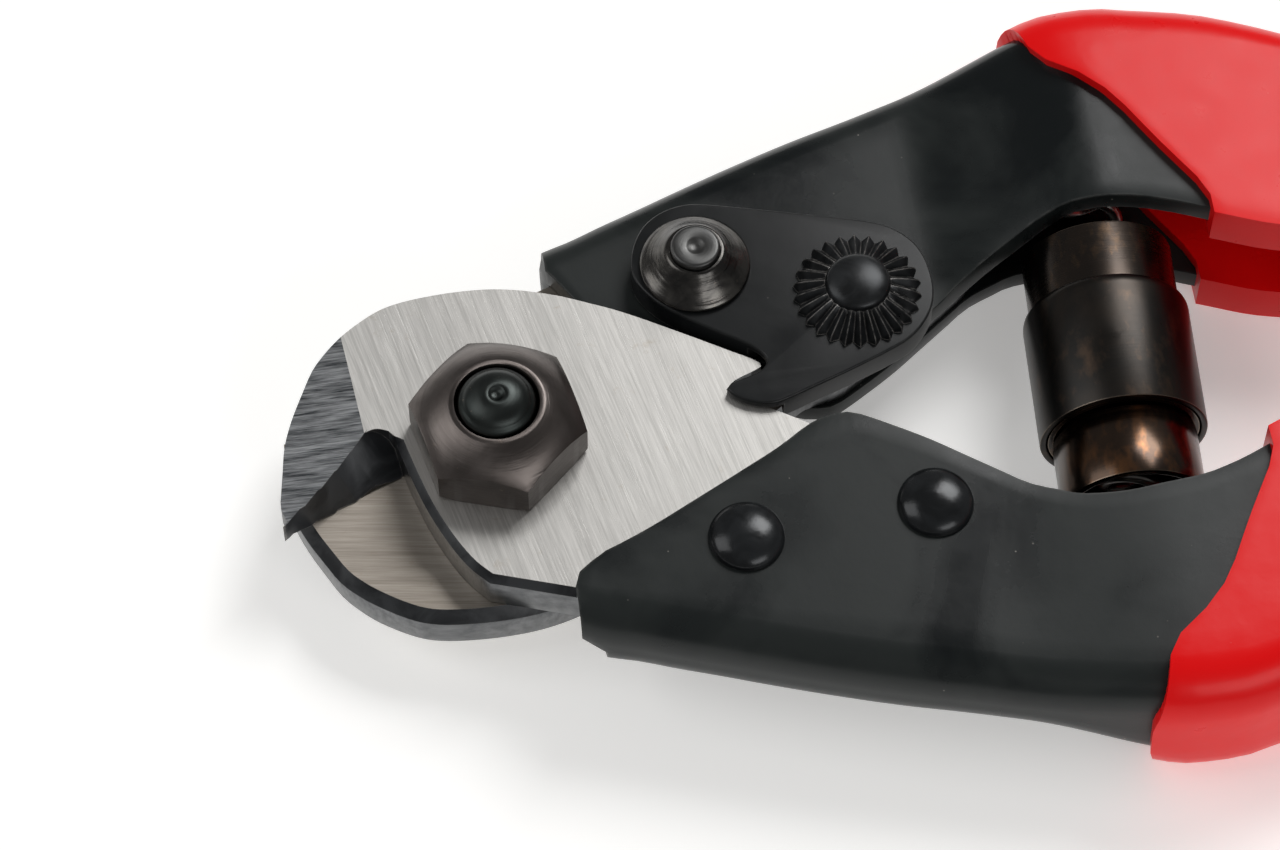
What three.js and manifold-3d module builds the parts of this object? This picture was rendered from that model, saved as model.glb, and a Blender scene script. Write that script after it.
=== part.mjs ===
import * as THREE from 'three';
import { mergeVertices } from 'three/addons/utils/BufferGeometryUtils.js';
import Module from 'manifold-3d';

// One-hand wire rope cutter for trellis and fence wire, closed and latched, lying on its back.
// Millimetres. The pivot axis is X = Y = 0, the plane it rests on is Z = 0, the grips run along +X.

const wasm = await Module();
wasm.setup();

// ---- driving dimensions ----
const SHEAR_Z = 7.6;          // height of the plane between the two blades
const BLADE_T = 3.94;         // blade thickness
const LAYER_GAP = 0.03;       // running gap in the stack
const SHEET = 2.0;            // handle sheet thickness
const COAT = 1.1;            // vinyl coat on the sheet
const COAT_GAP = 0.05;        // hidden gap between sheet and coat
const NUT_AF = 13.0;          // M8 nut, across flats
const NUT_TURN = -138.4;      // angle of a nut corner, degrees
const BOLT_R = 3.95, BOLT_HOLE_R = 4.05, THREAD_R = 3.3, THREAD_HOLE_R = 3.36;
const RIVET_R = 2.1, RIVET_HOLE_R = 2.15, RIVET_HEAD_R = 3.15, RIVET_HEAD_H = 1.5;
const LATCH_XY = [18.6, 13.4];  // latch pivot and first rivet
const RIVET2_XY = [34.4, 12.6]; // second rivet
const LATCH_Z0 = 2.2, LATCH_T = 2.7;
const HOOK_RELIEF_R = 23.9, HOOK_RELIEF_Z = 4.12;
const THUMB_XY = [31.7, 8.8], THUMB_R = 5.45, THUMB_TEETH = 26;
const TUBE_TILT = -3.7;       // spring tube axis from the Y axis, degrees
const TUBE_X = 52.35;         // tube axis distance in its own turned frame
const UPPER_TUBE = [6.4, 5.95, -2.2, 15.15];   // outer r, inner r, low end, high end
const LOWER_TUBE = [6.1, 5.8, 5.3, -8.9, -2.5, 15.0]; // collar r, outer r, inner r, low end, step, high end
const SLEEVE = [7.1, 6.55, -2.3, 9.7];
const SPRING_R = 2.3, SPRING_WIRE_R = 0.55, SPRING_TURNS = 14;
const SADDLE_CLEAR = 0.35;
const OPEN_DEG = 22;

// Outline of a blade seen from its nut side, the handle rivets on -Y.
const JAW = [[-18.24,-4.63],[-18.64,-3.1],[-18.45,-1.71],[-18.13,0.07],[-17.68,2.45],[-16.83,4.7],[-15.8,6.73],[-14.55,8.96],[-13.15,10.47],[-11.78,11.58],[-10,12.77],[-8.24,13.66],[-6.3,14.14],[-3.88,14.38],[-1.77,14.44],[0.33,14.36],[2.02,14.15],[3.7,13.79],[5.37,13.28],[7.23,12.61],[9.37,11.62],[11.12,10.8],[13.25,9.62],[15.76,8.1],[17.97,6.75],[20.28,5.3],[21.83,4.35],[22.59,3.75],[22.62,3.4],[21.74,3],[20.2,2.4],[19.4,1.65],[19.51,1.14],[20.48,0.58],[21.93,-0.22],[23.48,-1.12],[25.21,-2.23]];
const TANG = [[26.6,-3.1],[28.6,-3.4],[29.9,-3.85],[31.3,-4.7],[35,-7],[37.4,-8.6],[40.4,-10.8],[42.4,-12.5],[43.4,-14.4],[43.3,-17],[42,-21],[40.5,-24],[38.8,-25.3],[34,-25],[27,-23],[20,-20.7],[14,-18.4],[9,-16.9],[4.5,-15.5]];
// Right wall of the wire mouth, from the top of its root down to the shank corner.
const MOUTH = [[-2.55,-13.06],[-3.86,-11.58],[-4.94,-9.8],[-5.91,-7.73],[-6.85,-5.27],[-7.67,-2.41],[-8.15,-0.48],[-8.38,0.54],[-8.57,1.46],[-8.99,1.98],[-9.67,2.28],[-10.27,2.32],[-10.89,2.11],[-11.2,1.9]];
const LIP = [[-18.24,-4.63],[-18.15,-4.38],[-11.4,2.05],[-10.6,2.5],[-9.1,2.25],[-8.3,1.5],[-8.05,-0.5],[-8.96,-0.72],[-9.76,-0.77],[-11.1,-1.29],[-12.98,-2.47],[-14.73,-3.26],[-16.48,-3.94],[-17.7,-4.45]];
const LIP_SPREAD = 0.36;      // how fast the lip's foot leaves its edge along the edge
const REAR_TIP_X = -17.75;    // the rear blade's tip is ground back to here
const UPPER_END_X = 5.9;      // front end of the upper handle
const FACET = [[-11.8,11.18],[-10.99,2.11]]; // front edge of the ground jaw facet
const FACET_DROP = 1.25;      // how much thinner the jaw is at its tip

// Handle: outer line of the spine, the outline of each wall, all for the upper handle (+Y outwards).
const SPINE = [[4.2,18.9],[6.2,19.75],[8.7,20.5],[11.6,21.6],[15,22.8],[19.1,24.3],[24,26],[29,27.6],[34,29],[41,31],[46.4,32.2],[49,32.7],[52,33.15],[56,33.2],[60,32.45],[65,31.3],[70,29.3],[75,26.85],[80,24.5],[90,21.4],[100,19.5],[115,18.4],[130,18.2],[145,18.7],[158,19.8],[166,21.1],[169,21.4]];
const WALL_SHORT = [[8.5,12.8],[13.6,10.3],[16.2,8.9],[18.4,7.5],[20.8,6.1],[23.5,4.6],[25.5,3.9],[27.5,3.7],[29.2,3.8],[31,4.35],[35.3,6],[38.4,7.95],[40.9,9.9],[42.9,11.2],[45.6,12.45],[48.4,13.6],[51.1,14.2],[53.6,14.15],[56.1,13.8],[59.3,12.85],[62.8,11.4]];
const WALL_LONG = [[4.2,18.9],[4.7,16.1],[5.7,14.5],[7,13.1],[8.3,12.4],[10.9,11.3],[15.4,9.1],[20,6.8],[22.7,5.4],[24.6,4.2],[25.9,3.5],[27.3,3.1],[28.6,3.05],[29.7,3.4],[31.3,4.3],[35,6.6],[37.2,8.2],[40.2,10.4],[42.4,12],[44.7,13],[46.6,13.7],[50.3,14],[52.9,13.8],[56.4,13.5],[59.5,12.7],[62.8,11.4]];
const RIM_GRIP = [[62.8,11.4],[67.7,9.5],[75,8],[85,6.6],[100,5.8],[120,5.4],[140,5.6],[155,6.4],[166,7.8],[169,8.3]];
const METAL_END_X = 165.5, GRIP_END_X = 171.5;
const HEAD_FRONT = 2, HEAD_BACK = -6, GRIP_HALF = 6.5, FLARE_X0 = 38.5, FLARE_X1 = 54;
const GRIP_FRONT = [[62.4,10],[62.3,11.8],[60.5,14.5],[58.5,18.5],[56.5,22],[54.5,25],[52,27.8],[49.9,30.6],[48.7,33],[48.2,36]];

// ---- helpers ----
const RAD = Math.PI / 180;
function lerpTable(t, x) {
  if (x <= t[0][0]) return t[0][1];
  for (let i = 1; i < t.length; i++) if (x <= t[i][0]) {
    const k = (x - t[i - 1][0]) / (t[i][0] - t[i - 1][0]);
    return t[i - 1][1] + k * (t[i][1] - t[i - 1][1]);
  }
  return t[t.length - 1][1];
}
// Catmull-Rom points added between the corners of an outline.
function soften(P, n = 2, corner = 38) {
  const N = P.length, out = [], at = i => P[(i + N) % N];
  const turn = i => { const a = at(i - 1), b = at(i), c = at(i + 1), u = [b[0] - a[0], b[1] - a[1]], w = [c[0] - b[0], c[1] - b[1]]; return Math.abs(Math.atan2(u[0] * w[1] - u[1] * w[0], u[0] * w[0] + u[1] * w[1])) / RAD; };
  for (let i = 0; i < N; i++) {
    const p1 = at(i), p2 = at(i + 1);
    out.push(p1);
    if (Math.hypot(p2[0] - p1[0], p2[1] - p1[1]) > 9) continue;
    const p0 = turn(i) > corner ? [2 * p1[0] - p2[0], 2 * p1[1] - p2[1]] : at(i - 1), p3 = turn(i + 1) > corner ? [2 * p2[0] - p1[0], 2 * p2[1] - p1[1]] : at(i + 2);
    for (let k = 1; k < n; k++) { const t = k / n; out.push([0, 1].map(c => 0.5 * (2 * p1[c] + (-p0[c] + p2[c]) * t + (2 * p0[c] - 5 * p1[c] + 4 * p2[c] - p3[c]) * t * t + (-p0[c] + 3 * p1[c] - 3 * p2[c] + p3[c]) * t ** 3))); }
  }
  return out;
}
function toManifold(geometry) {
  let g = geometry.index ? geometry.toNonIndexed() : geometry.clone();
  g.deleteAttribute('normal'); g.deleteAttribute('uv');
  g = mergeVertices(g, 1e-4);
  const idx = g.index.array, pos = g.attributes.position.array, tri = [];
  for (let i = 0; i < idx.length; i += 3) {
    const [a, b, c] = [idx[i], idx[i + 1], idx[i + 2]];
    if (a !== b && b !== c && a !== c) tri.push(a, b, c);
  }
  return new wasm.Manifold(new wasm.Mesh({ numProp: 3, vertProperties: new Float32Array(pos), triVerts: new Uint32Array(tri) }));
}
function toGeometry(m) {
  const mesh = m.getMesh();
  const g = new THREE.BufferGeometry();
  const n = mesh.numProp, v = mesh.vertProperties, p = new Float32Array(v.length / n * 3);
  for (let i = 0; i < v.length / n; i++) { p[3 * i] = v[n * i]; p[3 * i + 1] = v[n * i + 1]; p[3 * i + 2] = v[n * i + 2]; }
  g.setAttribute('position', new THREE.BufferAttribute(p, 3));
  g.setIndex(new THREE.BufferAttribute(new Uint32Array(mesh.triVerts), 1));
  g.computeVertexNormals();
  return g;
}
function prism(points, z0, z1) {
  const g = new THREE.ExtrudeGeometry(new THREE.Shape(points.map(p => new THREE.Vector2(p[0], p[1]))), { depth: z1 - z0, bevelEnabled: false, curveSegments: 1 });
  g.translate(0, 0, z0);
  return toManifold(g);
}
function lathe(profile, seg, at = [0, 0]) {
  // profile: [radius, z] from the low end of the axis to the high end
  const g = new THREE.LatheGeometry(profile.map(p => new THREE.Vector2(p[0], p[1])), seg);
  g.rotateX(Math.PI / 2);
  g.translate(at[0], at[1], 0);
  return toManifold(g);
}
function latheGeometry(profile, seg) {
  return new THREE.LatheGeometry(profile.map(p => new THREE.Vector2(p[0], p[1])), seg);
}
const rod = (r, z0, z1, at, seg = 32) => lathe([[0, z0], [r, z0], [r, z1], [0, z1]], seg, at);
const flipX = p => p.map(([x, y]) => [x, -y]);

// Loft of closed loops, all with the same number of points.
function loft(loops) {
  const n = loops[0].length, pos = [], tri = [];
  for (const l of loops) for (const p of l) pos.push(...p);
  for (let s = 0; s < loops.length - 1; s++) for (let i = 0; i < n; i++) {
    const a = s * n + i, b = s * n + (i + 1) % n, c = a + n, d = b + n;
    tri.push(a, b, d, a, d, c);
  }
  for (const s of [0, loops.length - 1]) {
    const flat = loops[s].map(p => new THREE.Vector2(p[1], p[2]));
    const turn = Math.sign(THREE.ShapeUtils.area(flat));
    for (const f of THREE.ShapeUtils.triangulateShape(flat, [])) {
      const same = Math.sign(THREE.ShapeUtils.area(f.map(i => flat[i]))) === turn;
      const [a, b, c] = (s > 0) === same ? f : [f[0], f[2], f[1]];
      tri.push(s * n + a, s * n + b, s * n + c);
    }
  }
  const g = new THREE.BufferGeometry();
  g.setAttribute('position', new THREE.BufferAttribute(new Float32Array(pos), 3));
  g.setIndex(tri);
  let m = toManifold(g);
  if (m.volume() < 0) {
    for (let i = 0; i < tri.length; i += 3) [tri[i + 1], tri[i + 2]] = [tri[i + 2], tri[i + 1]];
    g.setIndex(tri); m = toManifold(g);
  }
  return m;
}

// ---- blades ----
function lipCutter() {
  const zl = LAYER_GAP, zh = LAYER_GAP + BLADE_T, tip = [-18.24, -4.63], root = [-11.2, 1.9];
  const dx = root[0] - tip[0], dy = root[1] - tip[1], L = Math.hypot(dx, dy), ux = dx / L, uy = dy / L, nx = uy, ny = -ux;
  const at = (t, w, z) => [tip[0] + ux * t + nx * w, tip[1] + uy * t + ny * w, z];
  const v = [], tri = [], ts = [-3, 0, 2, 4, 6, 8, 10, 13];
  for (const t of ts) { const w = LIP_SPREAD * Math.max(t, 0) * 1.3; v.push(at(t, 0, zh + 0.001), at(t, 9, zh + 0.001), at(t, 9, zl - 1.18), at(t, w, zl - 1.18)); }
  const n = ts.length - 1, quad = (a, b, c, d) => tri.push(a, b, c, a, c, d);
  quad(0, 1, 2, 3); quad(4 * n + 3, 4 * n + 2, 4 * n + 1, 4 * n);
  for (let i = 0; i < n; i++) for (let k = 0; k < 4; k++) quad(4 * i + k, 4 * i + 4 + k, 4 * i + 4 + (k + 1) % 4, 4 * i + (k + 1) % 4);
  return solidOf(v, tri);
}
function solidOf(v, tri) {
  const g = new THREE.BufferGeometry();
  g.setAttribute('position', new THREE.BufferAttribute(new Float32Array(v.flat()), 3)); g.setIndex(tri);
  let w = toManifold(g);
  if (w.volume() < 0) { const r = []; for (let i = 0; i < tri.length; i += 3) r.push(tri[i], tri[i + 2], tri[i + 1]); g.setIndex(r); w = toManifold(g); }
  return w;
}
function blade() {
  const zl = LAYER_GAP, zh = LAYER_GAP + BLADE_T;
  // plan outline: jaw, tang and mouth
  const outline = soften([...JAW, ...TANG, ...MOUTH], 2);
  let m = prism(outline, LAYER_GAP, LAYER_GAP + BLADE_T);
  // cutting lip: its face turns from upright at the tip to a slope at the root of the mouth
  const lip = prism(soften(LIP, 2, 30), LAYER_GAP, LAYER_GAP + BLADE_T);
  m = m.add(lip.subtract(lipCutter()));
  // ground facet: a wedge off the face, from nothing at the facet line to FACET_DROP at the tip
  const f0 = FACET[0], f1 = FACET[1], ex = f1[0] - f0[0], ey = f1[1] - f0[1], E = Math.hypot(ex, ey);
  const ux = ex / E, uy = ey / E, px = uy, py = -ux; // p points to the tip side (-X)
  const s = px < 0 ? 1 : -1, reach = 12;
  const Q = (t, w, z) => [f0[0] + ux * t + s * px * w, f0[1] + uy * t + s * py * w, z];
  const drop = FACET_DROP * reach / 7.2;
  const v = [Q(-12, 0, zh), Q(22, 0, zh), Q(22, reach, zh - drop), Q(-12, reach, zh - drop), Q(-12, 0, zh + 3), Q(22, 0, zh + 3), Q(22, reach, zh + 3), Q(-12, reach, zh + 3)];
  const q = [[0, 1, 2, 3], [7, 6, 5, 4], [0, 4, 5, 1], [1, 5, 6, 2], [2, 6, 7, 3], [3, 7, 4, 0]];
  const tri = []; for (const f of q) tri.push(f[0], f[1], f[2], f[0], f[2], f[3]);
  const g = new THREE.BufferGeometry();
  g.setAttribute('position', new THREE.BufferAttribute(new Float32Array(v.flat()), 3)); g.setIndex(tri);
  let w = toManifold(g);
  if (w.volume() < 0) { for (let i = 0; i < tri.length; i += 3) [tri[i + 1], tri[i + 2]] = [tri[i + 2], tri[i + 1]]; g.setIndex(tri); w = toManifold(g); }
  m = m.subtract(w);
  m = m.subtract(rod(BOLT_HOLE_R, -2, 8, [0, 0], 40));
  for (const [x, y] of [LATCH_XY, RIVET2_XY]) m = m.subtract(rod(RIVET_HOLE_R, -2, 8, [x, -y], 24));
  return m;
}

// ---- handles (drawn as the upper one; the lower one is the same piece turned over) ----
function zFront(x) { const k = THREE.MathUtils.smoothstep(x, FLARE_X0, FLARE_X1); return HEAD_FRONT + (GRIP_HALF - HEAD_FRONT) * k; }
function zBack(x) { const k = THREE.MathUtils.smoothstep(x, FLARE_X0, FLARE_X1); return HEAD_BACK - (GRIP_HALF + HEAD_BACK) * k; }
function uSection(x, off, rim, round, inset = 0) {
  const zf = zFront(x) + off - inset, zb = zBack(x) - off + inset, s = lerpTable(SPINE, x) + off - inset;
  const t = SHEET + 2 * off, r = round + off, ri = Math.max(round - SHEET - off, 0.4);
  const pts = [];
  const arc = (cy, cz, rr, a0, a1, n) => { for (let i = 0; i <= n; i++) { const a = (a0 + (a1 - a0) * i / n) * RAD; pts.push([x, cy + rr * Math.cos(a), cz + rr * Math.sin(a)]); } };
  pts.push([x, rim, zf]);
  arc(s - r, zf - r, r, 90, 0, 4);
  arc(s - r, zb + r, r, 0, -90, 4);
  pts.push([x, rim, zb]);
  pts.push([x, rim, zb + t]);
  arc(s - t - ri, zb + t + ri, ri, -90, 0, 2);
  arc(s - t - ri, zf - t - ri, ri, 0, 90, 2);
  pts.push([x, rim, zf - t]);
  return pts;
}
const GRIP_STATIONS = [46.4, 49, 52, 56, 60, 62.8, 65, 67.7, 70, 75, 80, 90, 100, 115, 130, 145, 158, METAL_END_X];
const STATIONS = [4.2, 6.2, 8.7, 11.6, 15, 19.1, 24, 29, 34, 38.5, 41, 43.5, 46.4, 49, 52, 56, 60, 65, 70, 75, 80, 90, 100, 115, 130, 145, 158, METAL_END_X];
function handle() {
  const rimAt = x => x < 62.8 ? 1.0 : lerpTable(RIM_GRIP, x);
  let m = loft([...STATIONS.filter(x => x < 62), 62.8].map(x => uSection(x, 0, 1.0, 3.2))
    .concat([62.8 + 0.02, ...GRIP_STATIONS.slice(6)].map(x => uSection(x, 0, rimAt(x), 3.2))));
  const below = w => [[-10, -10], [64, -10], [64, w[w.length - 1][1]], ...[...w].reverse()];
  const cutFront = [[-10, -10], [64, -10], [64, 11.4], ...[...WALL_SHORT].reverse(), [6.2, 19.75], [5.9, 24], [-10, 24]];
  const cutBack = [...below(WALL_LONG), [3.9, 24], [-10, 24]];
  m = m.subtract(prism(cutFront, -1, 12)).subtract(prism(cutBack, -12, -1));
  m = m.subtract(rod(RIVET_HOLE_R, -9, 9, LATCH_XY, 24)).subtract(rod(RIVET_HOLE_R, -9, 9, RIVET2_XY, 24));
  return m;
}
// Room for the end of a spring tube as it rocks in the saddle of the handle.
function tubeRoom(centre, r, over, tilts) {
  let out = null;
  for (const t of tilts) {
    const g = latheGeometry([[0, -40], [r, -40], [r, over], [0, over]], 32);
    g.rotateZ(t * RAD); g.translate(centre[0], centre[1], 0);
    const c = toManifold(g);
    out = out ? out.add(c) : c;
  }
  return out;
}
function grip() {
  const xs = [...GRIP_STATIONS, 168.6, 170.4, GRIP_END_X];
  const rimAt = x => lerpTable([[46.4, 11.4], ...RIM_GRIP], x);
  const endInset = x => x <= 168 ? 0 : (x < 169 ? 0.35 : (x < 171 ? 1.0 : 2.1));
  const outer = loft(xs.map(x => uSection(x, COAT, rimAt(x) - COAT + endInset(x), 3.2, endInset(x))));
  const inner = loft([...GRIP_STATIONS.slice(0, -1), METAL_END_X + COAT_GAP].map(x => uSection(x, COAT_GAP, rimAt(x) - COAT_GAP, 3.2)));
  const front = [[30, -20], [62.6, -20], ...GRIP_FRONT, [48, 60], [30, 60]];
  return outer.subtract(prism(front, -12, 12)).subtract(inner);
}

const V = (x, y) => new THREE.Vector2(x, y);
const ctr = (x, y) => { const c = Math.cos(TUBE_TILT * RAD), s = Math.sin(TUBE_TILT * RAD); return [x * c - y * s, x * s + y * c]; };
const SEAT_A = ctr(TUBE_X, 12), SEAT_B = ctr(TUBE_X, -12);

const root = new THREE.Group();
root.position.z = SHEAR_Z;
function add(name, geometry, color, metalness, roughness, parent = root) {
  const mesh = new THREE.Mesh(geometry, new THREE.MeshStandardMaterial({ color, metalness, roughness }));
  mesh.name = name;
  parent.add(mesh);
  return mesh;
}

// Front blade fixed in the lower handle, rear blade fixed in the upper one, turned over.
const bladeSolid = blade();
add('front_blade', toGeometry(bladeSolid), 0xa9a6a2, 1, 0.38);
add('rear_blade', toGeometry(bladeSolid.subtract(prism([[-30, -30], [REAR_TIP_X, -30], [REAR_TIP_X, 30], [-30, 30]], -9, 9))), 0x8f8a84, 1, 0.42).rotation.x = Math.PI;

// Pivot bolt and nut.
const HEX_R = NUT_AF / Math.sqrt(3);
const hex = (af, turn) => Array.from({ length: 6 }, (_, i) => [af / Math.sqrt(3) * Math.cos((turn + 60 * i) * RAD), af / Math.sqrt(3) * Math.sin((turn + 60 * i) * RAD)]);
const STACK = LAYER_GAP + BLADE_T; // face of the blade above the shear plane
{
  const z0 = STACK + LAYER_GAP;
  const body = prism(hex(NUT_AF, NUT_TURN), z0, z0 + 6.07);
  const cone = lathe([[0, z0 - 1], [7.05, z0 - 0.3], [7.6, z0 + 0.25], [7.6, z0 + 3.35], [6.7, z0 + 4.2], [5.6, z0 + 5.1], [4.6, z0 + 5.75], [3.9, z0 + 6.07], [0, z0 + 6.07]], 48);
  add('pivot_nut', toGeometry(body.intersect(cone).subtract(rod(THREAD_HOLE_R, 0, 20, [0, 0], 32))), 0x3b3330, 1, 0.35);
  const head = prism(hex(NUT_AF, 12), -SHEAR_Z, -STACK - LAYER_GAP)
    .intersect(lathe([[0, -SHEAR_Z], [6.3, -SHEAR_Z], [7.6, -SHEAR_Z + 0.8], [7.6, 0], [0, 0]], 48));
  const shank = lathe([[0, -STACK - 0.1], [BOLT_R, -STACK - 0.1], [BOLT_R, STACK - 0.2], [THREAD_R, STACK - 0.05], [THREAD_R, 9.9], [3.1, 10.35], [2.6, 10.7], [1.9, 11.1], [1.0, 11.35], [0.45, 11.4], [0, 11.15]], 32);
  add('pivot_bolt', toGeometry(head.add(shank)), 0x2c2a28, 1, 0.35);
}

// Handles.
const handleSolid = handle();
const upperRoom = tubeRoom(SEAT_A, UPPER_TUBE[0] + SADDLE_CLEAR, 3.15 + SADDLE_CLEAR, [TUBE_TILT, TUBE_TILT - OPEN_DEG / 4, TUBE_TILT - OPEN_DEG / 2]);
const lowerRoom = tubeRoom([SEAT_B[0], -SEAT_B[1]], LOWER_TUBE[0] + SADDLE_CLEAR, -3.1 + SADDLE_CLEAR, [-TUBE_TILT, -TUBE_TILT - OPEN_DEG / 4, -TUBE_TILT - OPEN_DEG / 2]);
add('upper_handle', toGeometry(handleSolid.subtract(upperRoom).subtract(prism([[-9, -30], [UPPER_END_X, -30], [UPPER_END_X, 30], [-9, 30]], -9, 9))), 0x1c2022, 0.6, 0.4);
add('lower_handle', toGeometry(handleSolid.subtract(lowerRoom)), 0x1c2022, 0.6, 0.4).rotation.x = Math.PI;
const gripSolid = grip();
add('upper_grip', toGeometry(gripSolid), 0xc81418, 0, 0.3);
add('lower_grip', toGeometry(gripSolid), 0xc81418, 0, 0.3).rotation.x = Math.PI;

// Rivets.
const dome = (r, h, z, dir) => { const p = [[r, z]]; for (let i = 1; i <= 5; i++) { const a = i * 18 * RAD; p.push([r * Math.cos(a), z + dir * h * Math.sin(a)]); } p[p.length - 1][0] = 0; return p; };
function rivet(at, top, bottom, headTop, headBottom) {
  const lo = headBottom ? [...dome(RIVET_HEAD_R, RIVET_HEAD_H, bottom, -1)].reverse() : [[0, bottom], [RIVET_R, bottom]];
  const hi = headTop ? dome(RIVET_HEAD_R, RIVET_HEAD_H, top, 1) : [[RIVET_R, top], [0, top]];
  const prof = [...lo, ...(headBottom ? [[RIVET_R, bottom]] : []), ...(headTop ? [[RIVET_R, top]] : []), ...hi];
  return toGeometry(lathe(prof, 28, at));
}
const OUT = 6 + LAYER_GAP, IN = 2 + LAYER_GAP;
add('lower_rivet_front', rivet([LATCH_XY[0], -LATCH_XY[1]], OUT, -IN, true, true), 0x1b1c1d, 1, 0.35);
add('lower_rivet_rear', rivet([RIVET2_XY[0], -RIVET2_XY[1]], OUT, -IN, true, true), 0x1b1c1d, 1, 0.35);
add('upper_rivet', rivet(RIVET2_XY, 2, -OUT, false, true), 0x1b1c1d, 1, 0.35);
add('latch_rivet', toGeometry(lathe([...[...dome(RIVET_HEAD_R, RIVET_HEAD_H, -OUT, -1)].reverse(), [RIVET_R, -OUT], [RIVET_R, 7.95], [1.85, 8.2], [0.6, 8.2], [0, 7.9]], 28, LATCH_XY)), 0x1b1c1d, 1, 0.35);

// Latch on the upper handle.
{
  const O = [[13.25,14.27],[13.78,16.24],[14.89,17.98],[16.47,19.08],[18.3,19.56],[20,19.45],[23.25,18.64],[26.6,17.72],[30.73,16.55],[33.19,15.84],[34.95,15.13],[36.29,14.19],[37.4,12.81],[38,11.17],[38.19,9.46],[38.09,7.86],[37.58,6.29],[36.48,4.76],[35.11,3.64],[33.45,2.85],[31.6,2.12],[29.75,1.43],[28.01,0.84],[26.17,0.21],[24.43,-0.38],[23.1,-0.69],[21.81,-0.51],[20.64,-0.03],[19.78,0.62],[19.37,1.2],[19.75,1.68],[20.57,1.98],[21.59,2.26],[22.52,2.65],[23.01,3.22],[23.04,3.82],[22.45,4.66],[21.3,5.59],[19.86,6.53],[18.33,7.58],[16.8,8.68],[15.18,10.04],[14.07,11.42],[13.36,12.86]];
  let m = prism(soften(O, 2, 60), LATCH_Z0, LATCH_Z0 + LATCH_T);
  // the hook stays above the blade's tooth, which passes under it as the tool opens
  const fan = [[0, 0]]; for (let a = -24; a <= 13.5; a += 3.75) fan.push([HOOK_RELIEF_R * Math.cos(a * RAD), HOOK_RELIEF_R * Math.sin(a * RAD)]);
  m = m.subtract(prism(fan, 0, HOOK_RELIEF_Z));
  m = m.subtract(rod(RIVET_HOLE_R, 0, 9, LATCH_XY, 24));
  add('latch_plate', toGeometry(m), 0x232527, 0.7, 0.4);
  const z = LATCH_Z0 + LATCH_T + LAYER_GAP;
  // serrated thumb button
  const star = Array.from({ length: THUMB_TEETH * 2 }, (_, i) => { const r = i % 2 ? THUMB_R - 0.55 : THUMB_R, a = i * Math.PI / THUMB_TEETH; return [THUMB_XY[0] + r * Math.cos(a), THUMB_XY[1] + r * Math.sin(a)]; });
  const button = prism(star, z, z + 3).intersect(lathe([[0, z], [6, z], [5.6, z + 0.35], [4.3, z + 1.0], [2.85, z + 1.5], [2.7, z + 1.75], [2.3, z + 2.1], [1.6, z + 2.35], [0.8, z + 2.48], [0, z + 2.5]], 40, THUMB_XY));
  add('latch_thumb_button', toGeometry(button), 0x232527, 0.7, 0.4);
  add('latch_spring_washer', toGeometry(lathe([[RIVET_R + 0.06, z], [4.55, z], [4.7, z + 0.4], [4.0, z + 1.0], [3.2, z + 1.75], [2.6, z + 2.35], [2.35, z + 2.65], [RIVET_R + 0.06, z + 2.65], [RIVET_R + 0.06, z]], 40, LATCH_XY)), 0x1b1c1d, 1, 0.3);
}

// Spring, its telescoping guard and seats, in a frame turned with the tube axis along its Y.
const tubes = new THREE.Group();
tubes.rotation.z = TUBE_TILT * RAD;
root.add(tubes);
function ring(profile) { const g = latheGeometry([...profile, profile[0]], 40); g.translate(TUBE_X, 0, 0); return toGeometry(toManifold(g)); }
{
  const [ro, ri, y0, y1] = UPPER_TUBE;
  add('upper_spring_tube', ring([[ri, y0], [ro, y0], [ro, y1 - 0.2], [ro - 0.2, y1], [ri, y1]]), 0x3a2c24, 1, 0.3, tubes);
  const [rc, rl, rn, l0, l1, l2] = LOWER_TUBE;
  add('lower_spring_tube', ring([[rn, l0], [rc - 0.15, l0], [rc, l0 + 0.15], [rc, l1 - 0.3], [rl, l1], [rl, l2], [rn, l2]]), 0x3a2c24, 1, 0.3, tubes);
  const [so, si, s0, s1] = SLEEVE;
  add('guard_sleeve', ring([[si, s0], [so, s0], [so, s1 - 0.7], [so - 0.15, s1 - 0.25], [so - 0.45, s1], [si, s1]]), 0x30261f, 1, 0.3, tubes);
  const SEAT_TOP = 31.9, SEAT_LOW = -25.4;
  const seatGeo = (y, dir) => { const pr = [[0, y], [3.0, y], [3.0, y - dir * 0.8], [1.5, y - dir * 0.8], [1.5, y - dir * 3.6], [1.2, y - dir * 4], [0, y - dir * 4]]; const g = latheGeometry(dir > 0 ? pr.reverse() : pr, 32); g.translate(TUBE_X, 0, 0); return toGeometry(toManifold(g)); };
  add('upper_spring_seat', seatGeo(SEAT_TOP, 1), 0x2a2a2a, 1, 0.4, tubes);
  add('lower_spring_seat', seatGeo(SEAT_LOW, -1), 0x2a2a2a, 1, 0.4, tubes);
  class Helix extends THREE.Curve {
    getPoint(t) {
      const lo = SEAT_LOW + 0.8 + SPRING_WIRE_R + 0.25, hi = SEAT_TOP - 0.8 - SPRING_WIRE_R - 0.25, a = t * SPRING_TURNS * 2 * Math.PI;
      return new THREE.Vector3(TUBE_X + SPRING_R * Math.cos(a), lo + (hi - lo) * t, SPRING_R * Math.sin(a));
    }
  }
  const circle = new THREE.Shape(Array.from({ length: 6 }, (_, i) => V(SPRING_WIRE_R * Math.cos(i * 60 * RAD), SPRING_WIRE_R * Math.sin(i * 60 * RAD))));
  const g = new THREE.ExtrudeGeometry(circle, { steps: SPRING_TURNS * 10, extrudePath: new Helix(), bevelEnabled: false, curveSegments: 1 });
  add('coil_spring', toGeometry(toManifold(g)), 0x6a6660, 1, 0.35, tubes);
}

export default root;
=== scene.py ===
import bpy, bmesh, math
import numpy as np
from mathutils import Vector, Matrix


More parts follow.
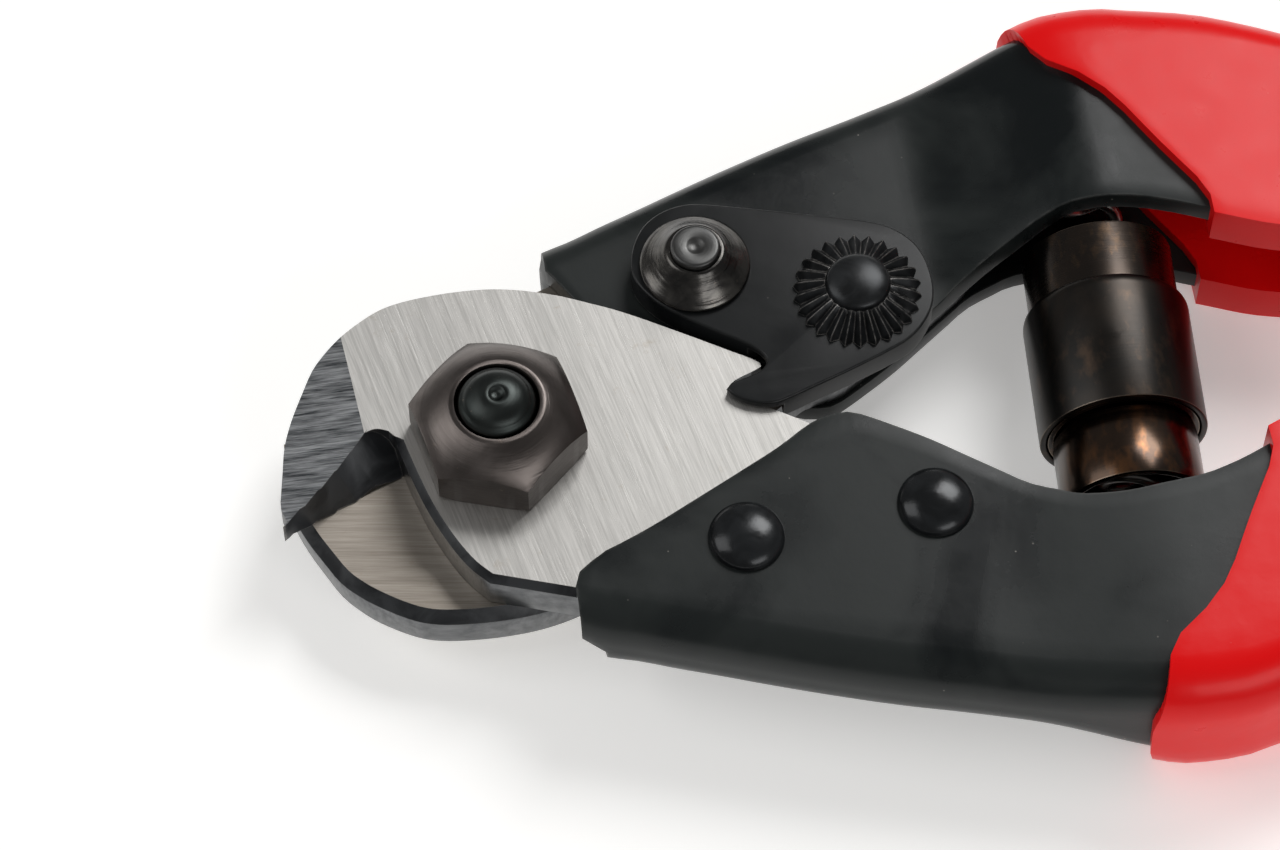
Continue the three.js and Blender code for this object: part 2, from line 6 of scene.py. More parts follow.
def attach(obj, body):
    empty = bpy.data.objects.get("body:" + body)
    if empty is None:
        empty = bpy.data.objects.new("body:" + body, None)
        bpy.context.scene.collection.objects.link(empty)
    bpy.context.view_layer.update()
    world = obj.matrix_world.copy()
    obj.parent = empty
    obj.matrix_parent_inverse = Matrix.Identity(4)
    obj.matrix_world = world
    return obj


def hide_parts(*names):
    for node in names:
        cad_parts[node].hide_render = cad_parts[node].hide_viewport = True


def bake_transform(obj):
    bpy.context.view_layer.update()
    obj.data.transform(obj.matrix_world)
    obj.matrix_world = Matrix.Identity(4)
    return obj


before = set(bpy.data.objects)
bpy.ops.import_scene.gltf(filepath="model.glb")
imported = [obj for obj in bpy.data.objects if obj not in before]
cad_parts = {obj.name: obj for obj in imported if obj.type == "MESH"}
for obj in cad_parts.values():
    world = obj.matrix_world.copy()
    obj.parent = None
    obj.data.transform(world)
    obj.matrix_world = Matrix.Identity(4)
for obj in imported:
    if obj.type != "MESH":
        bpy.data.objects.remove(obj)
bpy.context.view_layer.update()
scene = bpy.context.scene
MM = 0.001
ZI = 7.6                      # height of the shear plane

# ------------------------------------------------------------------ camera
PHI, ELEV, DIST, TARGET = math.radians(8.68), math.radians(60.89), 383.0, Vector((12.09, 1.57, ZI))
r = Vector((math.cos(PHI), -math.sin(PHI), 0)); q = Vector((math.sin(PHI), math.cos(PHI), 0))
d = q * math.cos(ELEV) - Vector((0, 0, 1)) * math.sin(ELEV)
u = q * math.sin(ELEV) + Vector((0, 0, 1)) * math.cos(ELEV)
cam = bpy.data.objects.new("camera", bpy.data.cameras.new("camera"))
scene.collection.objects.link(cam)
m = Matrix((r, u, -d)).transposed().to_4x4()
m.translation = (TARGET - d * DIST) * MM
cam.matrix_world = m
cam.data.sensor_width = 36
cam.data.lens = 18 / math.tan(math.radians(8))
cam.data.clip_start = 0.01
scene.camera = cam
scene.view_settings.view_transform = "Standard"
scene.view_settings.look = "None"

# ------------------------------------------------------------------ node helpers
class NT:
    def __init__(self, name):
        self.mat = bpy.data.materials.new(name); self.mat.use_nodes = True
        self.nt = self.mat.node_tree; self.nt.nodes.clear()
        self.out = self.nt.nodes.new("ShaderNodeOutputMaterial")
        self.p = self.nt.nodes.new("ShaderNodeBsdfPrincipled")
        self.nt.links.new(self.p.outputs[0], self.out.inputs[0])
        tc = self.nt.nodes.new("ShaderNodeTexCoord")
        v = self.nt.nodes.new("ShaderNodeVectorMath"); v.operation = "SCALE"; v.inputs["Scale"].default_value = 1000
        self.nt.links.new(tc.outputs["Object"], v.inputs[0])
        self.mm = v.outputs[0]
    def set(self, **kw):
        for k, v in kw.items(): self.p.inputs[k.replace("_", " ")].default_value = v
        return self
    def link(self, a, b): self.nt.links.new(a, b)
    def _in(self, sock, v):
        if isinstance(v, bpy.types.NodeSocket): self.link(v, sock)
        else: sock.default_value = v
    def map(self, vec, loc=(0, 0, 0), rot=(0, 0, 0), scale=(1, 1, 1)):
        n = self.nt.nodes.new("ShaderNodeMapping"); self.link(vec, n.inputs["Vector"])
        n.inputs["Location"].default_value = loc; n.inputs["Rotation"].default_value = rot; n.inputs["Scale"].default_value = scale
        return n.outputs[0]
    def noise(self, vec, scale, detail=3, rough=0.5, dist=0.0):
        n = self.nt.nodes.new("ShaderNodeTexNoise"); self.link(vec, n.inputs["Vector"])
        n.inputs["Scale"].default_value = scale; n.inputs["Detail"].default_value = detail
        n.inputs["Roughness"].default_value = rough; n.inputs["Distortion"].default_value = dist
        return n.outputs["Fac"]
    def voro(self, vec, scale, feature="F1"):
        n = self.nt.nodes.new("ShaderNodeTexVoronoi"); n.feature = feature; self.link(vec, n.inputs["Vector"])
        n.inputs["Scale"].default_value = scale
        return n.outputs["Distance"]
    def ramp(self, fac, stops):
        n = self.nt.nodes.new("ShaderNodeValToRGB"); self.link(fac, n.inputs[0])
        el = n.color_ramp.elements
        while len(el) < len(stops): el.new(0.5)
        for e, (p, c) in zip(el, stops):
            e.position = p; e.color = (c, c, c, 1) if isinstance(c, (int, float)) else (*c, 1)
        return n.outputs[0]
    def math(self, op, a, b=0.0, c=None, clamp=False):
        n = self.nt.nodes.new("ShaderNodeMath"); n.operation = op; n.use_clamp = clamp
        self._in(n.inputs[0], a); self._in(n.inputs[1], b)
        if c is not None: self._in(n.inputs[2], c)
        return n.outputs[0]
    def mix(self, fac, a, b):
        n = self.nt.nodes.new("ShaderNodeMix"); n.data_type = "RGBA"
        self._in(n.inputs[0], fac)
        for s, v in ((n.inputs[6], a), (n.inputs[7], b)):
            if isinstance(v, bpy.types.NodeSocket): self.link(v, s)
            else: s.default_value = (*v, 1)
        return n.outputs[2]
    def bump(self, h, strength, dist, normal=None):
        n = self.nt.nodes.new("ShaderNodeBump"); self.link(h, n.inputs["Height"])
        n.inputs["Strength"].default_value = strength; n.inputs["Distance"].default_value = dist * MM
        if normal is not None: self.link(normal, n.inputs["Normal"])
        return n.outputs[0]
    def xyz(self, vec):
        n = self.nt.nodes.new("ShaderNodeSeparateXYZ"); self.link(vec, n.inputs[0]); return n.outputs
    def edge(self, radius, lo=0.01, hi=0.12):
        b = self.nt.nodes.new("ShaderNodeBevel"); b.samples = 6; b.inputs["Radius"].default_value = radius * MM
        g = self.nt.nodes.new("ShaderNodeNewGeometry")
        dt = self.nt.nodes.new("ShaderNodeVectorMath"); dt.operation = "DOT_PRODUCT"
        self.link(b.outputs[0], dt.inputs[0]); self.link(g.outputs["Normal"], dt.inputs[1])
        k = self.math("SUBTRACT", 1.0, dt.outputs["Value"])
        return self.ramp(k, [(lo, 0.0), (hi, 1.0)])

def ground(name, base, dark, angle, rough=(0.3, 0.46), across=9.0, along=0.22, depth=0.012, strength=0.5, stain=None, aniso=0.35):
    t = NT(name); t.set(Metallic=1.0, Anisotropic=aniso)
    v = t.map(t.mm, rot=(0, 0, math.radians(-angle)))
    fine = t.noise(t.map(v, scale=(along, across, 1)), 1.0, 4, 0.65)
    coarse = t.noise(t.map(v, loc=(3, 7, 0), scale=(along * 0.35, across * 0.3, 1)), 1.0, 2, 0.5)
    scr = t.ramp(t.noise(t.map(v, loc=(9, 1, 0), rot=(0, 0, 0.09), scale=(along * 0.8, across * 2.6, 1)), 1.0, 1, 0.5), [(0.66, 0.0), (0.72, 1.0)])
    lines = t.math("ADD", t.math("MULTIPLY", fine, 0.65), t.math("MULTIPLY", coarse, 0.35))
    col = t.mix(t.ramp(lines, [(0.36, 0.0), (0.62, 1.0)]), dark, base)
    if stain:
        sp = t.ramp(t.noise(t.mm, 0.55, 5, 0.7, 0.4), [(0.62, 0.0), (0.74, 1.0)])
        col = t.mix(t.math("MULTIPLY", sp, 0.35), col, stain)
    t.link(col, t.p.inputs["Base Color"])
    t.link(t.math("ADD", t.math("MULTIPLY", lines, rough[1] - rough[0]), rough[0]), t.p.inputs["Roughness"])
    h = t.math("SUBTRACT", lines, t.math("MULTIPLY", scr, 0.4))
    t.link(t.bump(h, strength, depth), t.p.inputs["Normal"])
    tan = t.nt.nodes.new("ShaderNodeCombineXYZ")
    tan.inputs[0].default_value = math.cos(math.radians(angle)); tan.inputs[1].default_value = math.sin(math.radians(angle))
    t.link(tan.outputs[0], t.p.inputs["Tangent"])
    return t.mat

def oxide(name, base, rough=(0.28, 0.46), metallic=0.0, edge_wear_and_highlight=0.35, edge_r=0.35, specks=True, smudge=0.06, bump=0.02, tint=None, spec=0.5, coat=0.0):
    t = NT(name); t.set(Metallic=metallic, Specular_IOR_Level=spec, Coat_Weight=coat, Coat_Roughness=0.25)
    big = t.noise(t.mm, smudge, 4, 0.55, 0.8)
    mid = t.noise(t.map(t.mm, loc=(5, 2, 1)), 0.5, 5, 0.6)
    col = t.mix(t.ramp(big, [(0.42, 0.0), (0.58, 1.0)]), base, tint or tuple(1.7 * c for c in base))
    if specks:
        s1 = t.ramp(t.voro(t.mm, 0.62), [(0.03, 1.0), (0.06, 0.0)])
        gate = t.ramp(t.noise(t.map(t.mm, loc=(11, 3, 7)), 0.25, 2), [(0.55, 0.0), (0.62, 1.0)])
        s2 = t.math("MULTIPLY", s1, gate)
        col = t.mix(t.math("MULTIPLY", s2, 0.8), col, (0.32, 0.30, 0.27))
    # lighter colour along edges from the bevel mask: edge wear on most parts, and a painted highlight on the thumb
    # button's tooth crests
    e = t.edge(edge_r)
    w = t.math("MULTIPLY", e, t.ramp(t.noise(t.mm, 0.9, 4, 0.7), [(0.40, 0.15), (0.60, 1.0)]))
    col = t.mix(t.math("MULTIPLY", w, edge_wear_and_highlight), col, (0.42, 0.40, 0.38))
    t.link(col, t.p.inputs["Base Color"])
    rg = t.math("ADD", t.math("MULTIPLY", t.ramp(big, [(0.40, 0.0), (0.60, 1.0)]), 0.6 * (rough[1] - rough[0])), t.math("MULTIPLY", mid, 0.5 * (rough[1] - rough[0])))
    t.link(t.math("ADD", rg, rough[0]), t.p.inputs["Roughness"])
    h = t.math("ADD", t.math("MULTIPLY", t.noise(t.mm, 2.6, 4, 0.6), 0.5), t.noise(t.mm, 0.35, 2, 0.5))
    t.link(t.bump(h, 0.35, bump), t.p.inputs["Normal"])
    return t.mat

def turned(name, centre, base, tint, rough=(0.24, 0.36), depth=0.02, aniso=0.75, axis="Z", groove=5.0, metallic=1.0, patch=0.18):
    """Steel turned in a lathe: rings about an axis through centre (mm)."""
    t = NT(name); t.set(Metallic=metallic, Anisotropic=aniso)
    v = t.map(t.mm, loc=tuple(-c for c in centre))
    x, y, z = t.xyz(v)
    rad = t.math("SQRT", t.math("ADD", t.math("MULTIPLY", x, x), t.math("MULTIPLY", y, y)))
    cv = t.nt.nodes.new("ShaderNodeCombineXYZ"); t.link(rad, cv.inputs[0]); t.link(t.math("MULTIPLY", z, 0.8), cv.inputs[1])
    ang = t.math("ARCTAN2", y, x); t.link(t.math("MULTIPLY", ang, 0.35), cv.inputs[2])
    rings = t.noise(cv.outputs[0], groove, 4, 0.6)
    big = t.noise(t.mm, patch, 3, 0.6, 0.5)
    col = t.mix(t.ramp(big, [(0.38, 0.0), (0.62, 1.0)]), base, tint)
    sp = t.ramp(t.noise(t.mm, 1.4, 5, 0.75), [(0.64, 0.0), (0.72, 1.0)])
    col = t.mix(t.math("MULTIPLY", sp, 0.35), col, (0.30, 0.24, 0.19))
    t.link(col, t.p.inputs["Base Color"])
    t.link(t.math("ADD", t.math("MULTIPLY", rings, rough[1] - rough[0]), rough[0]), t.p.inputs["Roughness"])
    t.link(t.bump(rings, 0.55, depth), t.p.inputs["Normal"])
    tn = t.nt.nodes.new("ShaderNodeTangent"); tn.direction_type = "RADIAL"; tn.axis = axis
    t.link(tn.outputs[0], t.p.inputs["Tangent"])
    return t.mat

def tube_mat(name, base, hot, cold, rough=(0.2, 0.34)):
    t = NT(name); t.set(Metallic=1.0, Anisotropic=0.3)
    v = t.map(t.mm, rot=(0, 0, math.radians(3.7)))
    a = t.noise(t.map(v, scale=(0.16, 0.09, 0.16)), 1.0, 4, 0.6, 0.6)
    b = t.noise(t.map(v, loc=(4, 9, 2), scale=(0.4, 0.22, 0.4)), 1.0, 4, 0.65)
    col = t.mix(t.ramp(a, [(0.36, 0.0), (0.64, 1.0)]), cold, base)
    col = t.mix(t.ramp(b, [(0.52, 0.0), (0.70, 0.85)]), col, hot)
    pits = t.ramp(t.voro(t.mm, 0.75), [(0.035, 1.0), (0.07, 0.0)])
    gate = t.ramp(t.noise(t.map(t.mm, loc=(2, 8, 5)), 0.3, 2), [(0.5, 0.0), (0.56, 1.0)])
    pg = t.math("MULTIPLY", pits, gate)
    col = t.mix(t.math("MULTIPLY", pg, 0.7), col, (0.02, 0.015, 0.012))
    e = t.edge(0.18); col = t.mix(t.math("MULTIPLY", e, 0.55), col, (0.45, 0.36, 0.28))
    t.link(col, t.p.inputs["Base Color"])
    lines = t.noise(t.map(v, scale=(0.05, 7.0, 0.05)), 1.0, 3, 0.6)
    t.link(t.math("ADD", t.math("MULTIPLY", t.math("ADD", t.math("MULTIPLY", lines, 0.5), t.math("MULTIPLY", b, 0.5)), rough[1] - rough[0]), rough[0]), t.p.inputs["Roughness"])
    t.link(t.bump(t.math("SUBTRACT", lines, pg), 0.3, 0.012), t.p.inputs["Normal"])
    return t.mat

def vinyl(name):
    t = NT(name); t.set(Metallic=0.0, Specular_IOR_Level=0.2, Coat_Weight=0.05, Coat_Roughness=0.1)
    t.p.inputs["Subsurface Radius"].default_value = (1.0, 0.15, 0.1)
    a = t.noise(t.mm, 0.05, 3, 0.5)
    col = t.mix(a, (0.78, 0.002, 0.003), (0.86, 0.004, 0.005))
    dust = t.ramp(t.voro(t.mm, 0.42), [(0.018, 1.0), (0.036, 0.0)])
    gate = t.ramp(t.noise(t.map(t.mm, loc=(1, 6, 3)), 0.2, 2), [(0.52, 0.0), (0.58, 1.0)])
    col = t.mix(t.math("MULTIPLY", t.math("MULTIPLY", dust, gate), 0.6), col, (0.95, 0.45, 0.42))
    t.link(col, t.p.inputs["Base Color"])
    t.link(t.math("ADD", t.math("MULTIPLY", t.noise(t.mm, 0.35, 4, 0.6), 0.16), 0.22), t.p.inputs["Roughness"])
    h = t.math("ADD", t.math("MULTIPLY", t.noise(t.mm, 0.16, 2, 0.5), 1.0), t.math("MULTIPLY", t.noise(t.mm, 1.8, 3, 0.5), 0.06))
    t.link(t.bump(h, 0.35, 0.25), t.p.inputs["Normal"])
    return t.mat

M = {}
M["blade"] = ground("blade_ground", (0.62, 0.605, 0.58), (0.45, 0.44, 0.42), -78, rough=(0.40, 0.54), stain=(0.36, 0.29, 0.20), across=8.0, depth=0.01, aniso=0.1)
# the cutting facet is a much darker copy of the blade's ground steel: painted shade
M["facet"] = ground("blade_facet", (0.42, 0.43, 0.44), (0.05, 0.055, 0.06), -6, rough=(0.26, 0.5), across=7.0, along=0.35, depth=0.05, strength=0.8)
M["rear"] = ground("rear_blade_face", (0.44, 0.395, 0.345), (0.30, 0.265, 0.225), -9, stain=(0.30, 0.22, 0.14), across=9.0, depth=0.008)
# near-black darker copy of the blade steel for the chamfers and the walls not given the grey side steel: painted
# shade
M["side"] = oxide("blade_side_painted_shade", (0.012, 0.013, 0.015), rough=(0.26, 0.42), metallic=0.3, edge_wear_and_highlight=0.5, edge_r=0.16, specks=False, smudge=0.25, tint=(0.035, 0.037, 0.04))
M["side_light"] = ground("blade_side_ground", (0.21, 0.215, 0.22), (0.10, 0.105, 0.11), -10, rough=(0.24, 0.4), across=5.0, along=0.2, depth=0.01)
M["nut"] = turned("nut_brown_oxide", (0, 0, 0), (0.095, 0.082, 0.076), (0.14, 0.122, 0.114), rough=(0.26, 0.40), depth=0.03, aniso=0.8, groove=4.0)
M["bolt"] = turned("bolt_black", (0, 0, 0), (0.022, 0.026, 0.025), (0.045, 0.050, 0.048), rough=(0.30, 0.42), depth=0.02, aniso=0.6, groove=3.0)
M["handle"] = oxide("handle_black", (0.0048, 0.0065, 0.007), rough=(0.15, 0.38), edge_wear_and_highlight=0.14, edge_r=0.4, smudge=0.055, tint=(0.016, 0.019, 0.0185), spec=0.25, coat=0.0)
M["latch"] = oxide("latch_black", (0.006, 0.0068, 0.0074), rough=(0.28, 0.40), edge_wear_and_highlight=0.3, edge_r=0.3, smudge=0.09, tint=(0.010, 0.011, 0.0115), spec=0.25)
# the thumb button's lighter tooth crests, from the edge mask at 0.9, are a painted highlight
M["button"] = oxide("button_black", (0.014, 0.015, 0.016), rough=(0.24, 0.40), edge_wear_and_highlight=0.9, edge_r=0.2, smudge=0.3, metallic=0.6, specks=False)
M["rivet"] = oxide("rivet_black", (0.009, 0.010, 0.011), rough=(0.14, 0.28), edge_wear_and_highlight=0.15, edge_r=0.3, smudge=0.35, metallic=0.4, specks=False, bump=0.05)
M["washer"] = turned("washer_oiled", (18.6, 13.4, 0), (0.05, 0.048, 0.046), (0.10, 0.095, 0.088), rough=(0.10, 0.34), depth=0.06, aniso=0.4, groove=2.2, patch=0.5)
M["pin"] = turned("pin_end", (18.6, 13.4, 0), (0.055, 0.055, 0.055), (0.10, 0.10, 0.098), rough=(0.34, 0.46), depth=0.02, aniso=0.4, groove=4)
M["vinyl"] = vinyl("vinyl_red")
M["tube"] = tube_mat("tube_upper", (0.060, 0.045, 0.036), (0.12, 0.075, 0.045), (0.032, 0.029, 0.027))
M["sleeve"] = tube_mat("tube_sleeve", (0.042, 0.035, 0.030), (0.075, 0.052, 0.038), (0.026, 0.025, 0.024), rough=(0.26, 0.4))
M["tube_low"] = tube_mat("tube_lower", (0.075, 0.050, 0.036), (0.20, 0.095, 0.045), (0.036, 0.029, 0.027), rough=(0.14, 0.26))
M["spring"] = oxide("spring_wire", (0.20, 0.19, 0.18), rough=(0.22, 0.36), metallic=1.0, edge_wear_and_highlight=0.2, edge_r=0.1, specks=False, smudge=0.4)

# ------------------------------------------------------------------ mesh helpers
def new_obj(name, verts, faces, body, node, mats, smooth_deg=35):
    me = bpy.data.meshes.new(name)
    me.from_pydata([tuple(c * MM for c in v) for v in verts], [], faces)
    me.update()
    ob = bpy.data.objects.new(name, me); scene.collection.objects.link(ob)
    for k in mats: me.materials.append(M[k])
    finish_mesh(ob, smooth_deg)
    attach(ob, body)
    if node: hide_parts(node)
    return ob

def finish_mesh(ob, deg):
    me = ob.data
    bm = bmesh.new(); bm.from_mesh(me)
    bmesh.ops.recalc_face_normals(bm, faces=bm.faces)
    bm.to_mesh(me); bm.free()
    me.polygons.foreach_set("use_smooth", [True] * len(me.polygons))
    me.set_sharp_from_angle(angle=math.radians(deg))

def apply_mods(ob, deg):
    bpy.context.view_layer.update()
    dg = bpy.context.evaluated_depsgraph_get()
    me = bpy.data.meshes.new_from_object(ob.evaluated_get(dg), depsgraph=dg)
    old = ob.data; ob.modifiers.clear(); ob.data = me
    bpy.data.meshes.remove(old)
    me.polygons.foreach_set("use_smooth", [True] * len(me.polygons))
    me.set_sharp_from_angle(angle=math.radians(deg))

def lathe(name, prof, body, node, mats, centre=(0, 0, 0), axis=(0, 0, 1), seg=96, closed=False, deg=35, cap=True):
    """prof: (radius, height) pairs along the axis, in mm; a point of radius 0 closes the end."""
    ax = Vector(axis).normalized()
    e1 = ax.orthogonal().normalized(); e2 = ax.cross(e1); c = Vector(centre)
    verts, rows = [], []
    for rr, h in prof:
        if rr < 1e-6: rows.append([len(verts)]); verts.append(c + ax * h)
        else:
            rows.append(list(range(len(verts), len(verts) + seg)))
            for i in range(seg):
                a = 2 * math.pi * i / seg
                verts.append(c + ax * h + (e1 * math.cos(a) + e2 * math.sin(a)) * rr)
    faces = []
    pairs = list(zip(rows, rows[1:])) + ([(rows[-1], rows[0])] if closed else [])
    for a, b in pairs:
        for i in range(seg):
            j = (i + 1) % seg
            if len(a) == 1 and len(b) == 1: continue
            if len(a) == 1: faces.append((a[0], b[i], b[j]))
            elif len(b) == 1: faces.append((a[i], b[0], a[j]))
            else: faces.append((a[i], b[i], b[j], a[j]))
    return new_obj(name, verts, faces, body, node, mats, deg)

def hermite(tbl, xs):
    """Smooth line through a table of points, without overshoot."""
    x = np.array([p[0] for p in tbl], float); y = np.array([p[1] for p in tbl], float)
    h = np.diff(x); dl = np.diff(y) / h; m = np.zeros_like(x)
    m[1:-1] = np.where(dl[:-1] * dl[1:] > 0, 2 * dl[:-1] * dl[1:] / (dl[:-1] + dl[1:] + 1e-12), 0)
    m[0], m[-1] = dl[0], dl[-1]
    xs = np.clip(np.atleast_1d(np.asarray(xs, float)), x[0], x[-1]); i = np.clip(np.searchsorted(x, xs) - 1, 0, len(h) - 1)
    t = (xs - x[i]) / h[i]
    return (2*t**3-3*t**2+1)*y[i] + (t**3-2*t**2+t)*h[i]*m[i] + (-2*t**3+3*t**2)*y[i+1] + (t**3-t**2)*h[i]*m[i+1]

def soften(pts, n=3, corner=38, closed=True):
    """Catmull-Rom through the points, keeping the corners sharper than the angle given."""
    P = [np.array(p, float) for p in pts]; N = len(P); out = []
    def turn(i):
        a, b, c = P[(i-1) % N], P[i % N], P[(i+1) % N]
        u1, u2 = b - a, c - b
        return abs(math.degrees(math.atan2(u1[0]*u2[1]-u1[1]*u2[0], u1 @ u2)))
    for i in range(N if closed else N - 1):
        p1, p2 = P[i], P[(i+1) % N]
        out.append(tuple(p1))
        if np.linalg.norm(p2 - p1) > 9: continue
        p0 = 2*p1 - p2 if turn(i) > corner else P[(i-1) % N]
        p3 = 2*p2 - p1 if turn(i+1) > corner else P[(i+2) % N]
        for k in range(1, n):
            t = k / n
            out.append(tuple(0.5*((2*p1)+(-p0+p2)*t+(2*p0-5*p1+4*p2-p3)*t*t+(-p0+3*p1-3*p2+p3)*t**3)))
    return out

def prism_bm(pts, z0, z1):
    bm = bmesh.new()
    lo = [bm.verts.new((x * MM, y * MM, z0 * MM)) for x, y in pts]
    hi = [bm.verts.new((x * MM, y * MM, z1 * MM)) for x, y in pts]
    bm.faces.new(lo[::-1]); bm.faces.new(hi)
    for i in range(len(pts)):
        j = (i + 1) % len(pts); bm.faces.new((lo[i], lo[j], hi[j], hi[i]))
    bmesh.ops.recalc_face_normals(bm, faces=bm.faces)
    return bm

def temp_obj(bm):
    me = bpy.data.meshes.new("tmp"); bm.to_mesh(me); bm.free()
    ob = bpy.data.objects.new("tmp", me); scene.collection.objects.link(ob)
    return ob

def boolean(ob, other, op):
    mo = ob.modifiers.new("b", "BOOLEAN"); mo.operation = op; mo.object = other; mo.solver = "EXACT"
    bpy.context.view_layer.update()
    dg = bpy.context.evaluated_depsgraph_get()
    me = bpy.data.meshes.new_from_object(ob.evaluated_get(dg), depsgraph=dg)
    ob.modifiers.clear(); old = ob.data; ob.data = me; bpy.data.meshes.remove(old)
    bpy.data.objects.remove(other, do_unlink=True)

def box_bm(corners):
    """8 corners: 4 of one end, then 4 of the other."""
    bm = bmesh.new(); v = [bm.verts.new([c * MM for c in p]) for p in corners]
    for f in ((0, 1, 2, 3), (7, 6, 5, 4), (0, 4, 5, 1), (1, 5, 6, 2), (2, 6, 7, 3), (3, 7, 4, 0)): bm.faces.new([v[i] for i in f])
    bmesh.ops.recalc_face_normals(bm, faces=bm.faces)
    return bm

# ------------------------------------------------------------------ blades
JAW = [(-18.24,-4.63),(-18.64,-3.1),(-18.45,-1.71),(-18.13,0.07),(-17.68,2.45),(-16.83,4.7),(-15.8,6.73),(-14.55,8.96),(-13.15,10.47),(-11.78,11.58),(-10,12.77),(-8.24,13.66),(-6.3,14.14),(-3.88,14.38),(-1.77,14.44),(0.33,14.36),(2.02,14.15),(3.7,13.79),(5.37,13.28),(7.23,12.61),(9.37,11.62),(11.12,10.8),(13.25,9.62),(15.76,8.1),(17.97,6.75),(20.28,5.3),(21.83,4.35),(22.59,3.75),(22.62,3.4),(21.74,3),(20.2,2.4),(19.4,1.65),(19.51,1.14),(20.48,0.58),(21.93,-0.22),(23.48,-1.12),(25.21,-2.23)]
TANG = [(26.6,-3.1),(28.6,-3.4),(29.9,-3.85),(31.3,-4.7),(35,-7),(37.4,-8.6),(40.4,-10.8),(42.4,-12.5),(43.4,-14.4),(43.3,-17),(42,-21),(40.5,-24),(38.8,-25.3),(34,-25),(27,-23),(20,-20.7),(14,-18.4),(9,-16.9),(4.5,-15.5)]
MOUTH = [(-2.55,-13.06),(-3.86,-11.58),(-4.94,-9.8),(-5.91,-7.73),(-6.85,-5.27),(-7.67,-2.41),(-8.15,-0.48),(-8.38,0.54),(-8.57,1.46),(-8.99,1.98),(-9.67,2.28),(-10.27,2.32),(-10.89,2.11),(-11.2,1.9)]
LIP = [(-18.24,-4.63),(-18.15,-4.38),(-11.4,2.05),(-10.6,2.5),(-9.1,2.25),(-8.3,1.5),(-8.05,-0.5),(-8.96,-0.72),(-9.76,-0.77),(-11.1,-1.29),(-12.98,-2.47),(-14.73,-3.26),(-16.48,-3.94),(-17.7,-4.45)]

